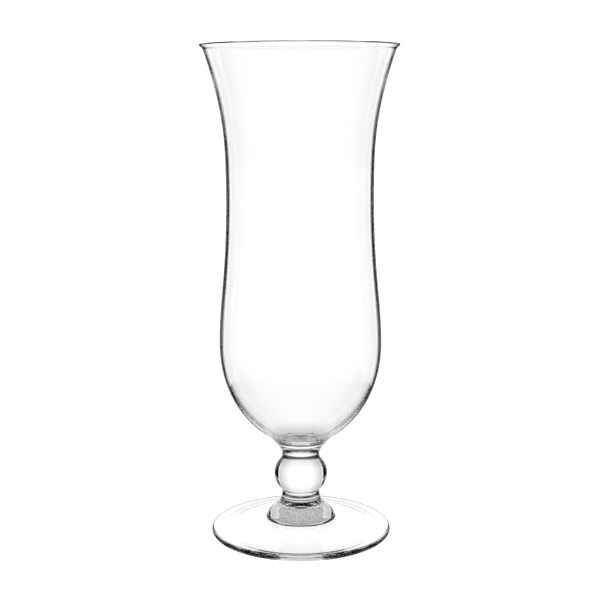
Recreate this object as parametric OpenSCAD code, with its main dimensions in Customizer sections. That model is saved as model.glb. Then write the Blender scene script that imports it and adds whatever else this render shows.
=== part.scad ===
/* [Foot] */
// Diameter of the round foot
foot_d = 85.6; // [76:0.2:96]
// Height of the foot's thick edge
edge_h = 2.9; // [2.2:0.1:4]
// Height of the foot where the stem stands on it
foot_h = 7.1; // [6.4:0.1:9]
// Width of the flat ring that the glass rests on
rest_w = 4.2; // [2:0.1:7]
// Depth of the hollow under the foot
hollow_depth = 4.8; // [3:0.1:5]

/* [Stem] */
// Diameter of the bell at the bottom of the stem
bell_d = 31.8; // [26:0.2:36]
// Radius of the round by which the bell runs out on the foot
bell_fillet = 1.3; // [0.8:0.1:2]
// Height of the bell
bell_h = 12.3; // [10:0.1:16]
// Diameter of the two necks, above and below the ball
neck_d = 17.9; // [14:0.1:19]
// Height of the joining wafer under the ball
lower_merese_h = 2.5; // [1.5:0.1:4]
// Diameter of the ball
ball_d = 25.4; // [23:0.1:32]
// Height of the ball between its two cut faces
ball_h = 13.2; // [11:0.1:15]
// Height that the ball would have if it were not cut
ball_full_h = 22; // [20:0.1:28]
// Height of the joining wafer over the ball
upper_merese_h = 3.7; // [2:0.1:5]

/* [Bowl] */
// Height of the bowl, from the upper neck to the rim
bowl_h = 191.2; // [170:0.2:215]
// Diameter over the rim
rim_d = 90.9; // [87:0.2:100]
// Thickness of the rounded rim
rim_t = 1; // [0.8:0.05:1.4]
// How far the turned-out lip stands out over its start
lip_out = 1.6; // [1.2:0.05:2.2]
// Height of the turned-out lip
lip_h = 2.4; // [2:0.1:3.4]
// Diameter of the waist, the narrowest place
waist_d = 68.3; // [60:0.1:73]
// Height of the waist over the bottom of the bowl
waist_h = 125.2; // [112:0.2:140]
// Diameter of the belly, the widest place of the lower bowl
belly_d = 76.1; // [70:0.1:84]
// Height of the belly over the bottom of the bowl
belly_h = 53.2; // [48:0.2:60]
// Diameter where the round of the bowl runs out into the neck
root_d = 33.6; // [29:0.1:37]
// Height of that place over the bottom of the bowl
root_h = 9.6; // [8:0.1:11]
// Thickness of the bowl's wall
wall = 1.4; // [1.2:0.05:2]
// Thickness of the wall where the lip starts
lip_wall = 1.1; // [1:0.05:1.2]
// Thickness of the glass under the middle of the bowl's floor
floor_t = 6.4; // [5.5:0.1:8.5]

/* [Hidden] */

// Clear glass, a little grey
glass_colour = [0.9, 0.93, 0.94, 0.45];

// Steps along each curve of an outline, and round the axis
steps = 14;
edge_steps = 8;
$fn = 96;

// Levels of the stack, each piece standing on the one below it
bell_z = foot_h;
bell_foot_r = bell_d / 2 + bell_fillet;
lower_merese_z = bell_z + bell_h;
ball_z = lower_merese_z + lower_merese_h;
upper_merese_z = ball_z + ball_h;
bowl_z = upper_merese_z + upper_merese_h;
lip_start_h = bowl_h - lip_h;
lip_start_r = rim_d / 2 - lip_out;

// How far each curve's pull reaches, as a share of that curve's height
neck_pull_share = 0.17;
root_pull_share = 0.25;
round_pull_share = 0.24;
belly_pull_share = 0.385;
belly_rise_share = 0.28;
waist_fall_share = 0.525;
waist_rise_share = 0.345;
flare_pull_share = 0.425;
lip_pull_share = 0.3;
heel_pull_share = 0.8;
floor_pull_share = 0.5;
bell_side_share = 0.34;
bell_top_share = 0.56;
merese_pull_share = 0.4;
foot_slope_share = 0.3;

// Outward lean of the wall, as a share of its rise
root_lean_share = 1.43;
flare_lean_share = 0.34;

// Angle from upright at which the lip meets the rim
lip_turn = 45;

// Radius of the ball's cut faces, which the wafers share
cut_share = ball_h / ball_full_h;
cut_r = ball_d / 2 * sqrt(1 - cut_share * cut_share);
// Lean of the ball's side at those faces, as a share of its fall
cut_lean_share = ball_d / ball_full_h * cut_share / sqrt(1 - cut_share * cut_share);

// One point of the curve from a to d that b and c pull on
function curve_point(a, b, c, d, t) =
    pow(1 - t, 3) * a + 3 * pow(1 - t, 2) * t * b + 3 * (1 - t) * t * t * c + pow(t, 3) * d;

// The curve's points after its first one
function curve(a, b, c, d, n = steps) = [for (i = [1:n]) curve_point(a, b, c, d, i / n)];

// Points of an arc round a centre
function arc(centre, r, from, to) =
    [for (i = [0:edge_steps])
        let (turn = from + (to - from) * i / edge_steps)
        centre + r * [cos(turn), sin(turn)]];

// Side of a wafer, from the neck up to a cut face of the ball, h high
function merese_side(h) = concat([[neck_d / 2, 0]], curve(
    [neck_d / 2, 0],
    [neck_d / 2, h * merese_pull_share],
    [cut_r - cut_lean_share * h * merese_pull_share, h * (1 - merese_pull_share)],
    [cut_r, h]));

// A solid of glass with this outline, turned round the axis at height z
module turned(outline, z) {
    color(glass_colour)
    translate([0, 0, z])
    rotate_extrude()
    polygon(outline);
}

// Disc with a thick round edge that rises to the stem and is hollow below
module foot() {
    edge_r = edge_h / 2;
    edge_centre = [foot_d / 2 - edge_r, edge_r];
    slope = edge_centre[0] - bell_foot_r;
    rest_r = edge_centre[0] - rest_w;
    // The hollow is a shallow part of a ball
    hollow_r = (rest_r * rest_r + hollow_depth * hollow_depth) / (2 * hollow_depth);
    hollow_turn = asin(rest_r / hollow_r);
    turned(concat(
        arc([0, hollow_depth - hollow_r], hollow_r, 90, 90 - hollow_turn),
        arc(edge_centre, edge_r, -90, 90),
        curve(
            [edge_centre[0], edge_h],
            [edge_centre[0] - slope * foot_slope_share, edge_h + (foot_h - edge_h) * foot_slope_share / 2],
            [bell_foot_r + slope * foot_slope_share, foot_h - (foot_h - edge_h) * foot_slope_share],
            [bell_foot_r, foot_h]),
        [[0, foot_h]]), 0);
}

// Bell that spreads the stem's weight on the foot and runs out on it in a round
module foot_bell() {
    turned(concat(
        [[0, 0]],
        arc([bell_foot_r, bell_fillet], bell_fillet, -90, -180),
        curve(
            [bell_d / 2, bell_fillet],
            [bell_d / 2, bell_h * bell_side_share],
            [neck_d / 2, bell_h * (1 - bell_top_share)],
            [neck_d / 2, bell_h]),
        [[0, bell_h]]), bell_z);
}

// Wafer that joins the bell to the ball
module lower_merese() {
    turned(concat(
        [[0, 0]], merese_side(lower_merese_h), [[0, lower_merese_h]]), lower_merese_z);
}

// Solid ball with a flat face above and below
module ball_knop() {
    cut_turn = asin(cut_share);
    turned(concat(
        [[0, 0]],
        [for (i = [-steps:steps])
            [ball_d / 2 * cos(cut_turn * i / steps),
             ball_h / 2 + ball_full_h / 2 * sin(cut_turn * i / steps)]],
        [[0, ball_h]]), ball_z);
}

// Wafer that joins the ball to the bowl, the lower one turned over
module upper_merese() {
    side = merese_side(upper_merese_h);
    turned(concat(
        [[0, 0]],
        [for (i = [len(side) - 1:-1:0]) [side[i][0], upper_merese_h - side[i][1]]],
        [[0, upper_merese_h]]), upper_merese_z);
}

// Outside of the bowl from its neck up to the belly
function lower_side() =
    let (rise = belly_h - root_h)
    concat(
        [[neck_d / 2, 0]],
        curve(
            [neck_d / 2, 0],
            [neck_d / 2, root_h * neck_pull_share],
            [root_d / 2 - root_lean_share * root_h * root_pull_share, root_h * (1 - root_pull_share)],
            [root_d / 2, root_h], edge_steps),
        curve(
            [root_d / 2, root_h],
            [root_d / 2 + root_lean_share * rise * round_pull_share, root_h + rise * round_pull_share],
            [belly_d / 2, belly_h - rise * belly_pull_share],
            [belly_d / 2, belly_h]));

// Side of the bowl over its belly, through the waist to the start of the lip
function upper_side() =
    let (rise = waist_h - belly_h, flare_rise = lip_start_h - waist_h)
    concat(
        curve(
            [belly_d / 2, belly_h],
            [belly_d / 2, belly_h + rise * belly_rise_share],
            [waist_d / 2, waist_h - rise * waist_fall_share],
            [waist_d / 2, waist_h]),
        curve(
            [waist_d / 2, waist_h],
            [waist_d / 2, waist_h + flare_rise * waist_rise_share],
            [lip_start_r - flare_lean_share * flare_rise * flare_pull_share,
             lip_start_h - flare_rise * flare_pull_share],
            [lip_start_r, lip_start_h]));

// Lip that turns out to the rounded rim, from its outside over to its inside
function lip_side() =
    let (rim_r = rim_t / 2, pull = lip_h * lip_pull_share)
    let (rim = arc([rim_d / 2 - rim_r, bowl_h - rim_r], rim_r, -lip_turn, 180 - lip_turn))
    let (lean = pull * [flare_lean_share, 1], flare = pull * [cos(lip_turn), sin(lip_turn)])
    let (outer = [lip_start_r, lip_start_h], inner = [lip_start_r - lip_wall, lip_start_h])
    concat(
        curve(outer, outer + lean, rim[0] - flare, rim[0], edge_steps),
        [for (i = [1:edge_steps]) rim[i]],
        curve(rim[edge_steps], rim[edge_steps] - flare, inner + lean, inner, edge_steps));

// Thickness of the wall at a height over the belly, less and less from the waist to the lip
function wall_at(z) = wall - (wall - lip_wall) * max(z - waist_h, 0) / (lip_start_h - waist_h);

// Inside of the bowl from its belly along the wall to the heel, and on to the middle of the floor
function cavity_side() =
    let (across = wall / sqrt(1 + root_lean_share * root_lean_share))
    let (heel = [root_d / 2 - across, root_h + across * root_lean_share])
    let (top = [belly_d / 2 - wall, belly_h], rise = belly_h - heel[1], drop = heel[1] - floor_t)
    concat(
        [top],
        curve(
            top,
            top - [0, rise * belly_pull_share],
            heel + rise * round_pull_share * [root_lean_share, 1],
            heel),
        curve(
            heel,
            heel - drop * heel_pull_share * [root_lean_share, 1],
            [heel[0] * floor_pull_share, floor_t],
            [0, floor_t], edge_steps));

// Thin-walled bowl with a rounded rim and a solid root
module bowl() {
    side = upper_side();
    turned(concat(
        [[0, 0]],
        lower_side(),
        side,
        lip_side(),
        [for (i = [len(side) - 2:-1:0]) side[i] - [wall_at(side[i][1]), 0]],
        cavity_side()), bowl_z);
}

foot();
foot_bell();
lower_merese();
ball_knop();
upper_merese();
bowl();
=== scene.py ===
import math

import bpy
from mathutils import Matrix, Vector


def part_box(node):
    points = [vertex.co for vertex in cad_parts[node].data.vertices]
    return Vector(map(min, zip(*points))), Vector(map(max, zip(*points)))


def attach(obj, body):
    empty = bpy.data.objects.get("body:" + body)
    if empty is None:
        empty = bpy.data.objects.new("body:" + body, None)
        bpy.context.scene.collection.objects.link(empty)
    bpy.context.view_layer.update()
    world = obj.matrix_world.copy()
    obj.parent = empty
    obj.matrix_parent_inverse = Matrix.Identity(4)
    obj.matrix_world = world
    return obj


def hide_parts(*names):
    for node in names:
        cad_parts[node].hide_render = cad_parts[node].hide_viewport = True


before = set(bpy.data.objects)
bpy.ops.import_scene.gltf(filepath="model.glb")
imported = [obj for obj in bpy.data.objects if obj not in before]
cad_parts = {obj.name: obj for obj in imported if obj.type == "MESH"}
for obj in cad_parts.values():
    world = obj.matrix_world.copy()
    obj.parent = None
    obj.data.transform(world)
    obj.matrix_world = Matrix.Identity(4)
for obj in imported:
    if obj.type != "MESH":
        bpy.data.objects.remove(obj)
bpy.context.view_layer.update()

print("frame loaded:", ", ".join(sorted(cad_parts)))

mm = 0.001


def size(node):
    # radius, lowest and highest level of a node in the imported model
    low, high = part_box(node)
    return high[0], low[2], high[2]


# Outlines
# An outline is a list of (radius, height) points, from the axis round the glass and back to the axis.

def curve(start, pull, endPull, end, count):
    # points of a cubic curve after its first one
    made = []
    for i in range(1, count + 1):
        t = i / count
        u = 1 - t
        made.append(tuple(
            u ** 3 * start[k] + 3 * u * u * t * pull[k] + 3 * u * t * t * endPull[k] + t ** 3 * end[k]
            for k in (0, 1)))
    return made


def arc(centre, radius, start, end, count):
    # points of an arc, with its angles in degrees from straight out
    made = []
    for i in range(count + 1):
        turn = math.radians(start + (end - start) * i / count)
        made.append((centre[0] + radius * math.cos(turn), centre[1] + radius * math.sin(turn)))
    return made


def line(start, end, count):
    # evenly spaced points after the first one
    return [(start[0] + (end[0] - start[0]) * i / count, start[1] + (end[1] - start[1]) * i / count)
            for i in range(1, count + 1)]


joinSteps = 4  # across a flat face at which two pieces are joined


def capped(side, lowSteps=joinSteps):
    # an outline of this side, with a flat joined face below and above it
    low, high = side[0][1], side[-1][1]
    return [(0, low)] + line((0, low), side[0], lowSteps) + side[1:] + line(side[-1], (0, high), joinSteps)


# Nodes

def setInput(node, name, value):
    node.inputs[name].default_value = value


def addNode(tree, kind, inputs=(), **settings):
    # a node whose inputs are plain values or other nodes' outputs
    made = tree.nodes.new(kind)
    for key, value in settings.items():
        setattr(made, key, value)
    for key, value in dict(inputs).items():
        if isinstance(value, bpy.types.NodeSocket):
            tree.links.new(value, made.inputs[key])
        else:
            setInput(made, key, value)
    return made


def calculate(tree, operation, *values):
    # a sum on numbers and other nodes' outputs
    return addNode(tree, "ShaderNodeMath", enumerate(values), operation=operation).outputs[0]


def split(tree, vector):
    # the X, Y and Z of a vector
    return addNode(tree, "ShaderNodeSeparateXYZ", {0: vector}).outputs


def objectPlace(tree):
    # each point's place in its object's own coordinates
    return addNode(tree, "ShaderNodeTexCoord").outputs["Object"]


def greyRamp(tree, place, stops, start, end):
    # greys at places from start to end, where the node's own place goes from 0 to 1
    shade = addNode(tree, "ShaderNodeValToRGB", {0: place})
    ramp = shade.color_ramp
    while len(ramp.elements) < len(stops):
        ramp.elements.new(0.5)
    for element, (stop, grey) in zip(ramp.elements, stops):
        element.position = (stop - start) / (end - start)
        element.color = (grey, grey, grey, 1)
    return shade.outputs["Color"]


# Glass

def noise(tree, place, grain, detail):
    # soft random heights with grains of this size
    return addNode(tree, "ShaderNodeTexNoise", {
        "Vector": place,
        "Scale": 1 / grain,
        "Detail": detail,
    }).outputs["Fac"]


def glassMaterial(name, look):
    # clear glass whose surface has the faint waves of fire polishing
    material = bpy.data.materials.new(name)
    material.use_nodes = True
    tree = material.node_tree
    shader = tree.nodes["Principled BSDF"]
    setInput(shader, "Transmission Weight", 1.0)
    setInput(shader, "IOR", look["ior"])
    setInput(shader, "Base Color", (*look["tint"], 1))
    setInput(shader, "Roughness", 0.0)
    normal = addNode(tree, "ShaderNodeBump", {
        "Strength": 1.0,
        "Distance": look["waveHeight"],
        "Height": noise(tree, objectPlace(tree), look["waveSize"], look["waveDetail"]),
    }).outputs["Normal"]
    if "mark" in look:
        normal = roughMark(tree, shader, normal, look["mark"])
    tree.links.new(normal, shader.inputs["Normal"])
    return material


def roughMark(tree, shader, normal, mark):
    # a rough round place in the middle of the underside, where the glass was pressed
    place = objectPlace(tree)
    where = split(tree, place)
    flat = addNode(tree, "ShaderNodeCombineXYZ", {"X": where["X"], "Y": where["Y"]})
    far = addNode(tree, "ShaderNodeVectorMath", {0: flat.outputs[0]}, operation="LENGTH")
    inside = addNode(tree, "ShaderNodeMapRange", {
        "Value": far.outputs["Value"],
        "From Min": mark["radius"] + mark["edge"],
        "From Max": mark["radius"],
    })
    under = calculate(tree, "LESS_THAN", where["Z"], mark["top"])
    spot = calculate(tree, "MULTIPLY", inside.outputs[0], under)
    tree.links.new(calculate(tree, "MULTIPLY", spot, mark["roughness"]), shader.inputs["Roughness"])
    grain = noise(tree, place, mark["grainSize"], mark["grainDetail"])
    return addNode(tree, "ShaderNodeBump", {
        "Strength": 1.0,
        "Distance": mark["grainHeight"],
        "Height": calculate(tree, "MULTIPLY", grain, spot),
        "Normal": normal,
    }).outputs["Normal"]


def plainMaterial(name, kind):
    # a material that is one shader node, which is given back too
    material = bpy.data.materials.new(name)
    material.use_nodes = True
    tree = material.node_tree
    tree.nodes.clear()
    shader = addNode(tree, kind)
    addNode(tree, "ShaderNodeOutputMaterial", {"Surface": shader.outputs[0]})
    return material, shader


bowlGlass = glassMaterial("bowlGlass", {
    "ior": 1.5,
    "tint": (1.0, 1.0, 1.0),
    "waveSize": 14 * mm,
    "waveDetail": 0.0,
    "waveHeight": 0.002 * mm,
})
stemGlass = glassMaterial("stemGlass", {
    "ior": 1.5,
    "tint": (1.0, 1.0, 1.0),
    "waveSize": 6 * mm,
    "waveDetail": 0.0,
    "waveHeight": 0.002 * mm,
})
footGlass = glassMaterial("footGlass", {
    "ior": 1.5,
    "tint": (1.0, 1.0, 1.0),
    "waveSize": 9 * mm,
    "waveDetail": 0.0,
    "waveHeight": 0.002 * mm,
    "mark": {
        "radius": 8.2 * mm,
        "edge": 0.4 * mm,  # over which it fades out
        "top": 6 * mm,  # it ends at this level, so the foot's upper side stays smooth
        "grainSize": 1.2 * mm,
        "grainDetail": 1.0,
        "grainHeight": 0.2 * mm,
        "roughness": 0.65,
    },
})
# the melted join between two pieces, where light goes straight on from glass to glass
fusedFace = plainMaterial("fusedFace", "ShaderNodeBsdfTransparent")[0]
print("materials made")


# The lathe

latheSetup = {
    "segments": 192,  # round the axis, where a piece asks for no other count
    "sharpAngle": 35,  # degrees at an edge from which it stays sharp
    "weld": 0.001 * mm,  # points closer than this become one
    "joinGap": 0.002 * mm,  # how near to a joining plane a face counts as fused
    "flatShare": 0.999,  # how upright a face's normal is there
}
noJoin = -1.0  # a level where nothing is


def turnOutline(tree, given):
    # a sheet with a row for each outline point, rolled round the axis and welded
    outlineSize = addNode(
        tree, "GeometryNodeAttributeDomainSize", {"Geometry": given["Outline"]}, component="MESH")
    rows = outlineSize.outputs["Point Count"]
    sheet = addNode(tree, "GeometryNodeMeshGrid", {
        "Vertices X": calculate(tree, "ADD", given["Segments"], 1),
        "Vertices Y": rows,
    })
    index = addNode(tree, "GeometryNodeInputIndex").outputs[0]
    # the half keeps the division clear of whole numbers
    column = calculate(tree, "FLOOR", calculate(tree, "DIVIDE", calculate(tree, "ADD", index, 0.5), rows))
    turn = calculate(tree, "MULTIPLY", calculate(tree, "DIVIDE", column, given["Segments"]), 2 * math.pi)
    point = addNode(tree, "GeometryNodeSampleIndex", {
        "Geometry": given["Outline"],
        "Value": addNode(tree, "GeometryNodeInputPosition").outputs[0],
        "Index": calculate(tree, "MODULO", index, rows),
    }, data_type="FLOAT_VECTOR", domain="POINT")
    turned = addNode(tree, "ShaderNodeVectorRotate", {
        "Vector": point.outputs[0],
        "Angle": turn,
    }, rotation_type="Z_AXIS")
    placed = addNode(tree, "GeometryNodeSetPosition", {
        "Geometry": sheet.outputs["Mesh"],
        "Position": turned.outputs[0],
    })
    return addNode(tree, "GeometryNodeMergeByDistance", {
        "Geometry": placed.outputs[0],
        "Distance": latheSetup["weld"],
    }).outputs[0]


def smoothSides(tree, given, skin):
    # smooth shading, with the edges kept sharp where a flat face meets a side
    bend = addNode(tree, "GeometryNodeInputMeshEdgeAngle").outputs["Unsigned Angle"]
    return addNode(tree, "GeometryNodeSetShadeSmooth", {
        "Geometry": skin,
        "Shade Smooth": calculate(tree, "LESS_THAN", bend, given["Sharp Angle"]),
    }, domain="EDGE").outputs[0]


def fusedFaces(tree, given):
    # chooses a face where all of it lies in one of the two joining planes
    height = split(tree, addNode(tree, "GeometryNodeInputPosition").outputs[0])["Z"]
    facing = split(tree, addNode(tree, "GeometryNodeInputNormal").outputs[0])["Z"]
    flat = calculate(tree, "GREATER_THAN", calculate(tree, "ABSOLUTE", facing), latheSetup["flatShare"])
    near = []
    for name in ("Fused Below", "Fused Above"):
        gap = calculate(tree, "ABSOLUTE", calculate(tree, "SUBTRACT", height, given[name]))
        near.append(calculate(tree, "LESS_THAN", gap, latheSetup["joinGap"]))
    return calculate(tree, "MULTIPLY", flat, calculate(tree, "MAXIMUM", *near))


def latheTree():
    # turns an outline of joined points round the Z axis into a closed skin of glass
    tree = bpy.data.node_groups.new("glassLathe", "GeometryNodeTree")
    sockets = {}
    for name, kind in (
            ("Outline", "NodeSocketGeometry"), ("Segments", "NodeSocketInt"),
            ("Glass", "NodeSocketMaterial"), ("Fused Face", "NodeSocketMaterial"),
            ("Fused Below", "NodeSocketFloat"), ("Fused Above", "NodeSocketFloat"),
            ("Sharp Angle", "NodeSocketFloat")):
        sockets[name] = tree.interface.new_socket(name, in_out="INPUT", socket_type=kind).identifier
    tree.interface.new_socket("Skin", in_out="OUTPUT", socket_type="NodeSocketGeometry")

    given = addNode(tree, "NodeGroupInput").outputs
    skin = smoothSides(tree, given, turnOutline(tree, given))
    real = addNode(tree, "GeometryNodeRealizeInstances", {0: skin})
    glazed = addNode(tree, "GeometryNodeSetMaterial", {
        "Geometry": real.outputs[0],
        "Material": given["Glass"],
    })
    fused = addNode(tree, "GeometryNodeSetMaterial", {
        "Geometry": glazed.outputs[0],
        "Selection": fusedFaces(tree, given),
        "Material": given["Fused Face"],
    })
    addNode(tree, "NodeGroupOutput", {0: fused.outputs[0]})
    return tree, sockets


lathe, latheSockets = latheTree()


def turnedPiece(
        name, outline, glass, node, below=noJoin, above=noJoin, segments=latheSetup["segments"]):
    # the outline's wire goes through the lathe, and the result is a plain mesh that stands for its node
    # below and above are the levels at which the piece is fused to its neighbours
    wire = bpy.data.meshes.new(name + "Outline")
    wire.from_pydata([(r, 0, z) for r, z in outline], [(i, i + 1) for i in range(len(outline) - 1)], [])
    maker = bpy.data.objects.new(name + "Outline", wire)
    bpy.context.scene.collection.objects.link(maker)
    modifier = maker.modifiers.new("lathe", "NODES")
    modifier.node_group = lathe
    for socket, value in (
            ("Segments", segments), ("Glass", glass), ("Fused Face", fusedFace),
            ("Fused Below", below), ("Fused Above", above),
            ("Sharp Angle", math.radians(latheSetup["sharpAngle"]))):
        modifier[latheSockets[socket]] = value
    bpy.context.view_layer.update()
    made = maker.evaluated_get(bpy.context.evaluated_depsgraph_get())
    mesh = bpy.data.meshes.new_from_object(made)
    mesh.name = name
    bpy.data.objects.remove(maker)
    bpy.data.meshes.remove(wire)
    piece = bpy.data.objects.new(name, mesh)
    bpy.context.scene.collection.objects.link(piece)
    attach(piece, "root")
    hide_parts(node)
    print(f"{name}: {len(outline)} outline points, {len(mesh.polygons)} faces")


# Foot

foot = {
    "edgeHeight": 2.9 * mm,
    "restWidth": 4.2 * mm,
    "hollowDepth": 4.8 * mm,
    "slopeShare": 0.3,  # how far the slope's curve is pulled at both ends
    "hollowSteps": 40,
    "restSteps": 8,
    "edgeSteps": 24,
    "slopeSteps": 40,
}


def makeFoot():
    radius, low, high = size("foot")
    bellRadius = size("foot_bell")[0]
    edge = foot["edgeHeight"] / 2
    edgeCentre = (radius - edge, low + edge)
    restRadius = edgeCentre[0] - foot["restWidth"]
    depth = foot["hollowDepth"]
    hollowRadius = (restRadius ** 2 + depth ** 2) / (2 * depth)
    hollowTurn = math.degrees(math.asin(restRadius / hollowRadius))
    slope = edgeCentre[0] - bellRadius
    rise = high - (low + foot["edgeHeight"])
    share = foot["slopeShare"]
    outline = arc((0, low + depth - hollowRadius), hollowRadius, 90, 90 - hollowTurn, foot["hollowSteps"])
    outline[0] = (0, low + depth)  # exactly on the axis
    outline += line(outline[-1], (edgeCentre[0], low), foot["restSteps"])
    outline += arc(edgeCentre, edge, -90, 90, foot["edgeSteps"])[1:]
    outline += curve(
        outline[-1],
        (edgeCentre[0] - slope * share, high - rise + rise * share / 2),
        (bellRadius + slope * share, high - rise * share),
        (bellRadius, high), foot["slopeSteps"])
    outline += line(outline[-1], (0, high), joinSteps)
    turnedPiece("footDisc", outline, footGlass, "foot", above=high)


# Stem

stem = {
    "neckRadius": 17.9 / 2 * mm,  # the same over and under the ball
    "bellSideShare": 0.34,
    "bellTopShare": 0.56,
    "bellFillet": 1.3 * mm,
    "mereseShare": 0.4,
    "ballFullHeight": 22 * mm,  # if the ball weren't cut above and below
    "bellBaseSteps": 6,
    "filletSteps": 8,
    "bellSteps": 60,
    "mereseSteps": 24,
    "ballSteps": 48,  # in each half
}
ballRadius, ballLow, ballHigh = size("ball_knop")
ballCutShare = (ballHigh - ballLow) / stem["ballFullHeight"]


def makeFootBell():
    baseRadius, low, high = size("foot_bell")
    fillet = stem["bellFillet"]
    neck = stem["neckRadius"]
    radius = baseRadius - fillet
    tall = high - low
    side = [(baseRadius, low)]
    side += arc((baseRadius, low + fillet), fillet, -90, -180, stem["filletSteps"])[1:]
    side += curve(
        side[-1],
        (radius, low + tall * stem["bellSideShare"]),
        (neck, high - tall * stem["bellTopShare"]),
        (neck, high), stem["bellSteps"])
    turnedPiece(
        "footBell", capped(side, stem["bellBaseSteps"]), stemGlass, "foot_bell", low, high)


def makeMerese(name, node, flip):
    # its side goes from the neck to the ball's cut face, or the other way where flip is set
    low, high = size(node)[1:]
    tall = high - low
    pull = tall * stem["mereseShare"]
    neck = stem["neckRadius"]
    across = math.sqrt(1 - ballCutShare ** 2)
    cutRadius = ballRadius * across
    lean = ballRadius * 2 / stem["ballFullHeight"] * ballCutShare / across
    side = [(neck, 0)] + curve(
        (neck, 0), (neck, pull), (cutRadius - lean * pull, tall - pull), (cutRadius, tall),
        stem["mereseSteps"])
    if flip:
        side = [(r, high - z) for r, z in reversed(side)]
    else:
        side = [(r, low + z) for r, z in side]
    turnedPiece(name, capped(side), stemGlass, node, low, high)


def makeBall():
    middle = (ballLow + ballHigh) / 2
    cutTurn = math.asin(ballCutShare)
    steps = stem["ballSteps"]
    side = []
    for i in range(-steps, steps + 1):
        turn = cutTurn * i / steps
        side.append((ballRadius * math.cos(turn), middle + stem["ballFullHeight"] / 2 * math.sin(turn)))
    turnedPiece("ballKnop", capped(side), stemGlass, "ball_knop", ballLow, ballHigh)


# Bowl

bowl = {
    "root": (33.6 / 2 * mm, 9.6 * mm),  # radius, and height over the bowl's bottom
    "belly": (76.1 / 2 * mm, 53.2 * mm),
    "waist": (68.3 / 2 * mm, 125.2 * mm),
    "lip": (1.6 * mm, 2.4 * mm),  # how far it stands out, and its height
    "rimThickness": 1.0 * mm,
    "wall": 1.4 * mm,
    "lipWall": 1.1 * mm,
    "floor": 6.4 * mm,
    # how far the wall leans out, as a share of its rise
    "rootLean": 1.43,
    "flareLean": 0.34,
    # how far a curve is pulled at its start and end, as shares of its rise
    "neckToRoot": (0.17, 0.25),
    "rootToBelly": (0.24, 0.385),
    "bellyToWaist": (0.28, 0.525),
    "waistToLip": (0.345, 0.425),
    "lipPull": 0.3,
    "heelPull": 0.8,
    "floorPull": 0.5,
    "neckSteps": 12,
    "roundSteps": 36,
    "shaftSteps": 28,
    "flareSteps": 48,
    "lipSteps": 6,
    "rimSteps": 10,
    "heelSteps": 12,
    "segments": 352,
}


def along(point, lean, reach):
    # the place that lies this much higher on a straight wall through the point
    return point[0] + lean * reach, point[1] + reach


def wallCurve(start, startLean, end, endLean, pulls, count):
    # from one place of the wall to the next, leaning as told at both
    rise = end[1] - start[1]
    return curve(
        start, along(start, startLean, rise * pulls[0]), along(end, endLean, -rise * pulls[1]), end, count)


def lipCurves(lip):
    # from the start of the lip over the rim to the inside of that start
    rimRadius, _, high = size("bowl")
    lean = bowl["flareLean"]
    rim = bowl["rimThickness"] / 2
    inner = (lip[0] - bowl["lipWall"], lip[1])
    pull = bowl["lip"][1] * bowl["lipPull"]
    flare = -pull * math.sqrt(0.5)  # the lip meets the rim at 45 degrees
    over = arc((rimRadius - rim, high - rim), rim, -45, 135, bowl["rimSteps"])
    outside = curve(lip, along(lip, lean, pull), along(over[0], 1, flare), over[0], bowl["lipSteps"])
    inside = curve(over[-1], along(over[-1], 1, flare), along(inner, lean, pull), inner, bowl["lipSteps"])
    return outside, over[1:] + inside


def innerBottom(root, belly, low):
    # from the belly down the inside to the heel, and on to the middle of the floor
    wall, lean = bowl["wall"], bowl["rootLean"]
    across = wall / math.hypot(1, lean)
    heel = (root[0] - across, root[1] + across * lean)
    middle = (0, low + bowl["floor"])
    drop = middle[1] - heel[1]
    top = (belly[0] - wall, belly[1])
    outline = [top] + wallCurve(top, 0, heel, lean, bowl["rootToBelly"][::-1], bowl["roundSteps"])
    outline += curve(
        heel, along(heel, lean, drop * bowl["heelPull"]), (heel[0] * bowl["floorPull"], middle[1]), middle,
        bowl["heelSteps"])
    return outline


def makeBowl():
    rimRadius, low, high = size("bowl")
    neck = (stem["neckRadius"], low)
    root, belly, waist = ((bowl[name][0], low + bowl[name][1]) for name in ("root", "belly", "waist"))
    lip = (rimRadius - bowl["lip"][0], high - bowl["lip"][1])
    lower = wallCurve(neck, 0, root, bowl["rootLean"], bowl["neckToRoot"], bowl["neckSteps"])
    lower += wallCurve(root, bowl["rootLean"], belly, 0, bowl["rootToBelly"], bowl["roundSteps"])
    upper = wallCurve(belly, 0, waist, 0, bowl["bellyToWaist"], bowl["shaftSteps"])
    upper += wallCurve(waist, 0, lip, bowl["flareLean"], bowl["waistToLip"], bowl["flareSteps"])
    lipOutside, lipInside = lipCurves(lip)
    # the wall gets thinner from the waist to the lip
    thin = (bowl["wall"] - bowl["lipWall"]) / (lip[1] - waist[1])
    inside = [(r - bowl["wall"] + thin * max(z - waist[1], 0), z) for r, z in reversed(upper[:-1])]
    outline = [(0, low)] + line((0, low), neck, joinSteps) + lower + upper + lipOutside
    outline += lipInside + inside + innerBottom(root, belly, low)
    turnedPiece(
        "bowlShell", outline, bowlGlass, "bowl", below=low, segments=bowl["segments"])
    return lower + upper + lipOutside[:-1]


makeFoot()
makeFootBell()
makeMerese("lowerMerese", "lower_merese", False)
makeBall()
makeMerese("upperMerese", "upper_merese", True)
bowlSide = makeBowl()
print("glass made")


def bowlRadius(height):
    # outer radius of the bowl at a height
    for (r0, z0), (r1, z1) in zip(bowlSide, bowlSide[1:]):
        if z0 <= height <= z1:
            return r0 + (r1 - r0) * (height - z0) / (z1 - z0)
    return bowlSide[-1][0] if height > bowlSide[-1][1] else bowlSide[0][0]


# Camera

camera = {
    "distance": 568.5 * mm,  # from the glass's axis, along the table
    "height": 211.4 * mm,
    "pitch": 9.878,  # degrees down
    "roll": -0.17,
    "yaw": 0.016,
    "focal": 1231.6,  # in pixels of the 600 pixel wide picture
    "pictureWidth": 600,
    "sensor": 36,
    "clipNear": 0.01,
    "clipFar": 100,
}


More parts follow.
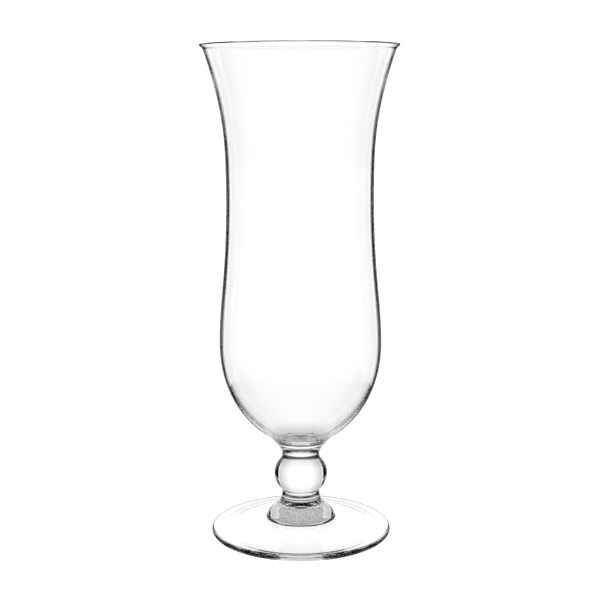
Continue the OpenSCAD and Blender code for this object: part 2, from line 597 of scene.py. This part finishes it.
def makeCamera():
    data = bpy.data.cameras.new("camera")
    data.sensor_width = camera["sensor"]
    data.lens = camera["focal"] * camera["sensor"] / camera["pictureWidth"]
    data.clip_start, data.clip_end = camera["clipNear"], camera["clipFar"]
    made = bpy.data.objects.new("camera", data)
    bpy.context.scene.collection.objects.link(made)
    turn = Matrix.Rotation(math.radians(camera["yaw"]), 4, "Z")
    turn = turn @ Matrix.Rotation(math.radians(90 - camera["pitch"]), 4, "X")
    roll = Matrix.Rotation(math.radians(camera["roll"]), 4, "Z")
    made.matrix_world = Matrix.Translation((0, -camera["distance"], camera["height"])) @ turn @ roll
    bpy.context.scene.camera = made
    return made


viewer = makeCamera()
print("camera placed")


# Studio

studio = {
    "white": 1.15,
    "floorRadius": 3.0,
    "floorSides": 64,
    # degrees over the table, and how light the studio's wall is there
    "walls": ((-90, 0.4), (-82, 0.05), (-64, 0.05), (-56, 0.5), (-42, 0.7), (-30, 0.82), (-20, 1.0),
              (8, 1.0), (20, 0.86), (36, 0.73), (48, 0.35), (62, 0.12)),
    "bounces": 64,
}


def lightMaterial(name, strength):
    material, shine = plainMaterial(name, "ShaderNodeEmission")
    setInput(shine, "Color", (1, 1, 1, 1))
    setInput(shine, "Strength", strength)
    return material


def makeFloor():
    # a white table that only the camera sees, so the wall also lights the glass from below
    mesh = bpy.data.meshes.new("floor")
    count, radius = studio["floorSides"], studio["floorRadius"]
    turns = [2 * math.pi * i / count for i in range(count)]
    mesh.from_pydata(
        [(radius * math.cos(turn), radius * math.sin(turn), 0) for turn in turns], [], [tuple(range(count))])
    mesh.materials.append(lightMaterial("floorWhite", studio["white"]))
    floor = bpy.data.objects.new("floor", mesh)
    bpy.context.scene.collection.objects.link(floor)
    for kind in ("visible_transmission", "visible_glossy", "visible_diffuse"):
        setattr(floor, kind, False)


def makeWalls():
    # a white wall all round, dark under the table and towards the ceiling
    world = bpy.data.worlds.new("studio")
    bpy.context.scene.world = world
    world.use_nodes = True
    tree = world.node_tree
    light = tree.nodes["Background"]
    height = split(tree, addNode(tree, "ShaderNodeTexCoord").outputs["Generated"])["Z"]
    share = calculate(tree, "MULTIPLY_ADD", calculate(tree, "ARCSINE", height), 1 / math.pi, 0.5)
    tree.links.new(greyRamp(tree, share, studio["walls"], -90, 90), light.inputs["Color"])
    setInput(light, "Strength", studio["white"])


def band(name, pairs, material, turns=True):
    # a strip through pairs of points that the camera doesn't see itself
    # it turns with the camera, or stands on the table where turns isn't set
    mesh = bpy.data.meshes.new(name)
    faces = [(2 * i, 2 * i + 1, 2 * i + 3, 2 * i + 2) for i in range(len(pairs) - 1)]
    mesh.from_pydata([point for pair in pairs for point in pair], [], faces)
    mesh.materials.append(material)
    made = bpy.data.objects.new(name, mesh)
    bpy.context.scene.collection.objects.link(made)
    if turns:
        made.parent = viewer
        made.matrix_parent_inverse = viewer.matrix_world.inverted()
    made.visible_camera = False


def roundPairs(radius, start, end, low, high, steps):
    # pairs of points round the axis, with the turns in degrees from straight behind the glass
    pairs = []
    for i in range(steps + 1):
        turn = math.radians(start + (end - start) * i / steps)
        x, y = radius * math.sin(turn), radius * math.cos(turn)
        pairs.append(((x, y, low), (x, y, high)))
    return pairs


# Cards close behind the bowl

cards = {
    "depth": 3.5 * mm,  # behind the glass's axis
    "near": 0.9 * mm,  # from the edge of the bowl to the inner edge of a card
    "width": 8 * mm,
    "lean": 0.6 * mm,  # how much further off the inner edge stands where the wall leans by its rise
    "bottom": 44 * mm,
    "top": 232 * mm,
    "seenLow": 40 * mm,  # the heights of the bowl's edge that the cards follow
    "seenHigh": 229 * mm,
    "reach": 2 * mm,  # over and under a height, between which the wall's lean is measured
    "rounds": 6,
    "steps": 48,
}


def cardEdges(height):
    # inner and outer edge of a card, at the height where a look past the bowl's edge meets it
    seen = height
    for _ in range(cards["rounds"]):
        slope = (camera["height"] - seen) / camera["distance"]
        seen = min(max(height + cards["depth"] * slope, cards["seenLow"]), cards["seenHigh"])
    near = bowlRadius(seen) + cards["near"]
    reach = cards["reach"]
    lean = (bowlRadius(seen + reach) - bowlRadius(seen - reach)) / (2 * reach)
    if lean > 0 and seen <= size("bowl")[1] + bowl["waist"][1]:
        near += cards["lean"] * lean
    return near, near + cards["width"]


def makeCards():
    # two black cards close behind the glass draw its edges
    black = lightMaterial("cardBlack", 0.0)
    low, high = cards["bottom"], cards["top"]
    for side, name in ((-1, "cardLeft"), (1, "cardRight")):
        pairs = []
        for i in range(cards["steps"] + 1):
            z = low + (high - low) * i / cards["steps"]
            pairs.append([(side * x, cards["depth"], z) for x in cardEdges(z)])
        band(name, pairs, black)


# Ring round the foot

ring = {
    "gap": 0.8 * mm,  # from the foot's edge
    "low": 0.2 * mm,
    "high": 2.8 * mm,
    "steps": 96,
}


def makeRing():
    # a low black ring round the foot draws its edge
    radius = size("foot")[0] + ring["gap"]
    pairs = roundPairs(radius, 0, 360, ring["low"], ring["high"], ring["steps"])
    band("ring", pairs, lightMaterial("ringBlack", 0.0), False)


# Flags and nets at both sides

flags = {
    # radius, lowest and highest edge, and degrees from straight behind the glass
    "low": (110 * mm, -90 * mm, 34 * mm, 42, 180),
    "high": (550 * mm, 140 * mm, 1200 * mm, 48, 180),
    "steps": 36,
}
nets = {
    "radius": 600 * mm,
    "low": -1.0,
    "high": 1.2,
    # degrees from straight behind the glass, and how much light the nets let through there
    "light": ((0, 1.0), (16, 1.0), (22, 0.88), (30, 0.75), (41, 0.62), (44, 0.95), (47, 0.9),
              (49, 0.38), (180, 0.38)),
    "steps": 24,
}


def makeFlags():
    # black flags at both sides, low ones near the stem and high ones further off
    black = lightMaterial("flagBlack", 0.0)
    for place in ("low", "high"):
        radius, low, high, start, end = flags[place]
        for side, name in ((-1, "flagLeft"), (1, "flagRight")):
            band(name, roundPairs(radius, side * start, side * end, low, high, flags["steps"]), black)


def netMaterial():
    # lets less light through further to the side
    material, clear = plainMaterial("net", "ShaderNodeBsdfTransparent")
    tree = material.node_tree
    place = split(tree, objectPlace(tree))
    turn = calculate(tree, "ARCTAN2", calculate(tree, "ABSOLUTE", place["X"]), place["Y"])
    share = calculate(tree, "DIVIDE", turn, math.pi)
    tree.links.new(greyRamp(tree, share, nets["light"], 0, 180), clear.inputs["Color"])
    return material


def makeNets():
    # a net at each side, from where it first takes light away
    net = netMaterial()
    start, end = nets["light"][1][0], nets["light"][-1][0]
    for side, name in ((-1, "netLeft"), (1, "netRight")):
        pairs = roundPairs(
            nets["radius"], side * start, side * end, nets["low"], nets["high"], nets["steps"])
        band(name, pairs, net)


makeFloor()
makeCards()
makeRing()
makeFlags()
makeNets()
makeWalls()
bpy.context.scene.view_settings.view_transform = "Standard"
for kind in ("max_bounces", "transmission_bounces", "glossy_bounces", "transparent_max_bounces"):
    setattr(bpy.context.scene.cycles, kind, studio["bounces"])
print("stage made")
